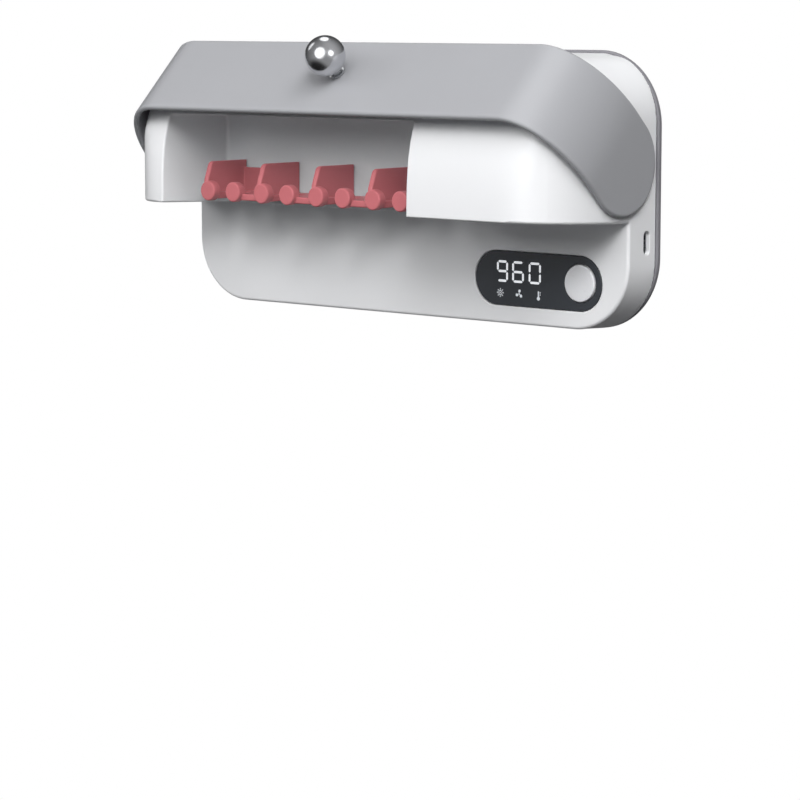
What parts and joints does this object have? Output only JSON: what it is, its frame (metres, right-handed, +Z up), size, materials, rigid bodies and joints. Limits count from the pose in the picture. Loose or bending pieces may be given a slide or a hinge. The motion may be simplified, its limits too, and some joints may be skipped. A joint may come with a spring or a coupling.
{
  "type": "toothbrush sanitizer",
  "caption": "Wall-mounted box with a flip-up cover over a brush chamber; it holds toothbrushes by the neck, dries and sterilises their heads, and shows a display and button below.",
  "frame": {"origin": "centre of the rear cover's wall face", "axes": "+Z up, +X to the right of a person facing the appliance, -Y out from the wall towards that person"},
  "size_m": [0.2428, 0.0754, 0.118],
  "materials": {
    "white_plastic": "smooth satin-gloss moulded",
    "grey_plastic": "fine satin moulded",
    "coral_plastic": "satin moulded",
    "chrome": "mirror polished",
    "smoked_lens": "smooth dark tinted",
    "button_plastic": "satin moulded",
    "circuit_board": "solder mask",
    "lamp_diffuser": "diffusing",
    "zinc_steel": "zinc plated",
    "black_plastic": "moulded",
    "natural_acetal": "moulded",
    "cell_wrap": "shrink wrap",
    "clear_window": "polished",
    "adhesive_foam": "foam tape",
    "heater_ceramic": "sintered ceramic",
    "nickel": "nickel plated",
    "cable_jacket": "smooth jacket"
  },
  "bodies": {
    "housing": {"rear_cover": "grey_plastic", "main_housing": "white_plastic", "hinge_bush_left": "natural_acetal", "hinge_bush_right": "natural_acetal", "display_lens": "smoked_lens", "button_switch": "zinc_steel", "display_board": "circuit_board", "display_module": "lamp_diffuser", "main_board": "circuit_board", "board_screw_1": "zinc_steel", "board_screw_2": "zinc_steel", "board_connector": "black_plastic", "control_chip": "black_plastic", "usb_c_receptacle": "zinc_steel", "battery_cell": "cell_wrap", "battery_strap": "black_plastic", "lamp_window": "clear_window", "lamp_board": "circuit_board", "uv_lamp_1": "lamp_diffuser", "uv_lamp_2": "lamp_diffuser", "uv_lamp_3": "lamp_diffuser", "uv_lamp_4": "lamp_diffuser", "heater_plate": "heater_ceramic", "fan_frame": "black_plastic", "fan_screw_1": "zinc_steel", "fan_screw_2": "zinc_steel", "cover_sensor": "circuit_board", "battery_cable": "cable_jacket", "lamp_cable": "cable_jacket", "fan_cable": "cable_jacket", "case_screw_1": "zinc_steel", "case_screw_2": "zinc_steel", "case_screw_3": "zinc_steel", "case_screw_4": "zinc_steel"},
    "flip_cover": {"flip_cover": "grey_plastic", "cover_magnet": "nickel", "knob_stem": "zinc_steel", "knob_ball": "chrome", "knob_screw": "zinc_steel", "hinge_washer_left": "zinc_steel", "hinge_washer_right": "zinc_steel", "hinge_screw_left": "zinc_steel", "hinge_screw_right": "zinc_steel"},
    "power_button": {"power_button": "button_plastic", "switch_plunger": "black_plastic"},
    "toothbrush_holder": {"toothbrush_holder": "coral_plastic"},
    "fan_rotor": {"fan_rotor": "black_plastic"},
    "wall_bracket": {"wall_bracket": "natural_acetal", "adhesive_pad": "adhesive_foam"}
  },
  "joints": [
    {"name": "cover_hinge", "type": "hinge", "parent": "housing", "child": "flip_cover", "pos_m": [0, -0.0264, 0.0121], "axis": [1, 0, 0], "range_deg": [0, 44.6]},
    {"name": "button_press", "type": "slide", "parent": "housing", "child": "power_button", "axis": [0, 1, 0], "range_m": [0, 0.0006], "stiffness_N_per_m": 500, "springref_m": -0.002},
    {"name": "holder_lift", "type": "slide", "parent": "housing", "child": "toothbrush_holder", "axis": [0, 0, 1], "range_m": [0, 0.0045]},
    {"name": "bracket_slide", "type": "slide", "parent": "housing", "child": "wall_bracket", "axis": [0, 0, -1], "range_m": [0, 0.0185]},
    {"name": "fan_spin", "type": "hinge", "parent": "housing", "child": "fan_rotor", "pos_m": [0.0554, -0.047, 0.009], "axis": [1, 0, 0], "continuous": true}
  ]
}
